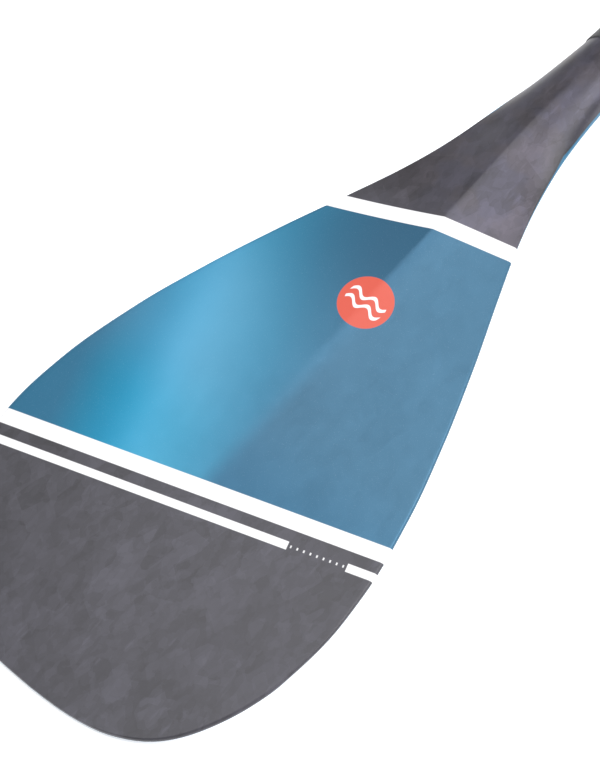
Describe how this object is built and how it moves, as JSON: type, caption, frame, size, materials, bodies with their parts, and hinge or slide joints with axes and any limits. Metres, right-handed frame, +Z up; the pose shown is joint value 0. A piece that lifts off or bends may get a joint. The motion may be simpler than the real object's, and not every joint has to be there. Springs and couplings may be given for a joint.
{
  "type": "stand-up paddle",
  "caption": "Adjustable single-blade stand-up paddle: raked blade with a centre ridge on a round shaft that takes apart and telescopes, with lever clamps and a T-handle.",
  "frame": {"origin": "on the floor, under the middle of the whole length at rest", "axes": "+X from the blade's tip to the handle, +Y across the blade, +Z up out of the blade's power face"},
  "size_m": [1.6972, 0.2004, 0.0702],
  "materials": {
    "front_laminate": "chopped carbon with blue and white print, clear-coated",
    "back_laminate": "glossy blue, clear-coated",
    "foam": "closed-cell foam",
    "carbon_tube": "woven carbon, clear-coated",
    "sleeve": "satin black sleeve",
    "seal": "rubber ring",
    "steel": "brushed stainless steel",
    "clamp_plastic": "fine-grained black moulding",
    "lever_plastic": "blue moulding",
    "handle_plastic": "fine-grained black moulding",
    "grip_rubber": "soft ribbed rubber",
    "ring": "blue ring"
  },
  "bodies": {
    "blade": {"blade_front_skin": "front_laminate", "blade_back_skin": "back_laminate", "blade_foam_core": "foam", "neck_spigot": "carbon_tube", "neck_collar": "sleeve", "lower_shaft": "carbon_tube", "lower_shaft_plug": "foam", "lower_clamp_collar": "clamp_plastic", "lower_clamp_saddle": "steel", "lower_clamp_washer": "steel", "lower_clamp_barrel": "steel", "lower_clamp_screw": "steel"},
    "lower_lever": {"lower_clamp_lever": "lever_plastic"},
    "mid_section": {"mid_ferrule": "carbon_tube", "ferrule_seal_rings": "seal", "ferrule_plug": "foam", "mid_shaft": "carbon_tube", "upper_clamp_collar": "clamp_plastic", "upper_clamp_saddle": "steel", "upper_clamp_washer": "steel", "upper_clamp_barrel": "steel", "upper_clamp_screw": "steel"},
    "upper_lever": {"upper_clamp_lever": "lever_plastic"},
    "handle_section": {"upper_shaft": "carbon_tube", "upper_shaft_plug": "foam", "handle_body": "handle_plastic", "handle_grip": "grip_rubber", "handle_ring": "ring"}
  },
  "joints": [
    {"name": "mid_pull_out", "type": "slide", "parent": "blade", "child": "mid_section", "axis": [0.9995, 0, -0.03], "range_m": [0, 0.12]},
    {"name": "length_adjust", "type": "slide", "parent": "mid_section", "child": "handle_section", "axis": [0.9995, 0, -0.03], "range_m": [0, 0.38]},
    {"name": "lower_lever_hinge", "type": "hinge", "parent": "blade", "child": "lower_lever", "pos_m": [-0.03507, 0.022, 0.05627], "axis": [-0.9995, 0, 0.03], "range_deg": [0, 150]},
    {"name": "upper_lever_hinge", "type": "hinge", "parent": "mid_section", "child": "upper_lever", "pos_m": [0.68961, 0.022, 0.03452], "axis": [-0.9995, 0, 0.03], "range_deg": [0, 150]}
  ]
}
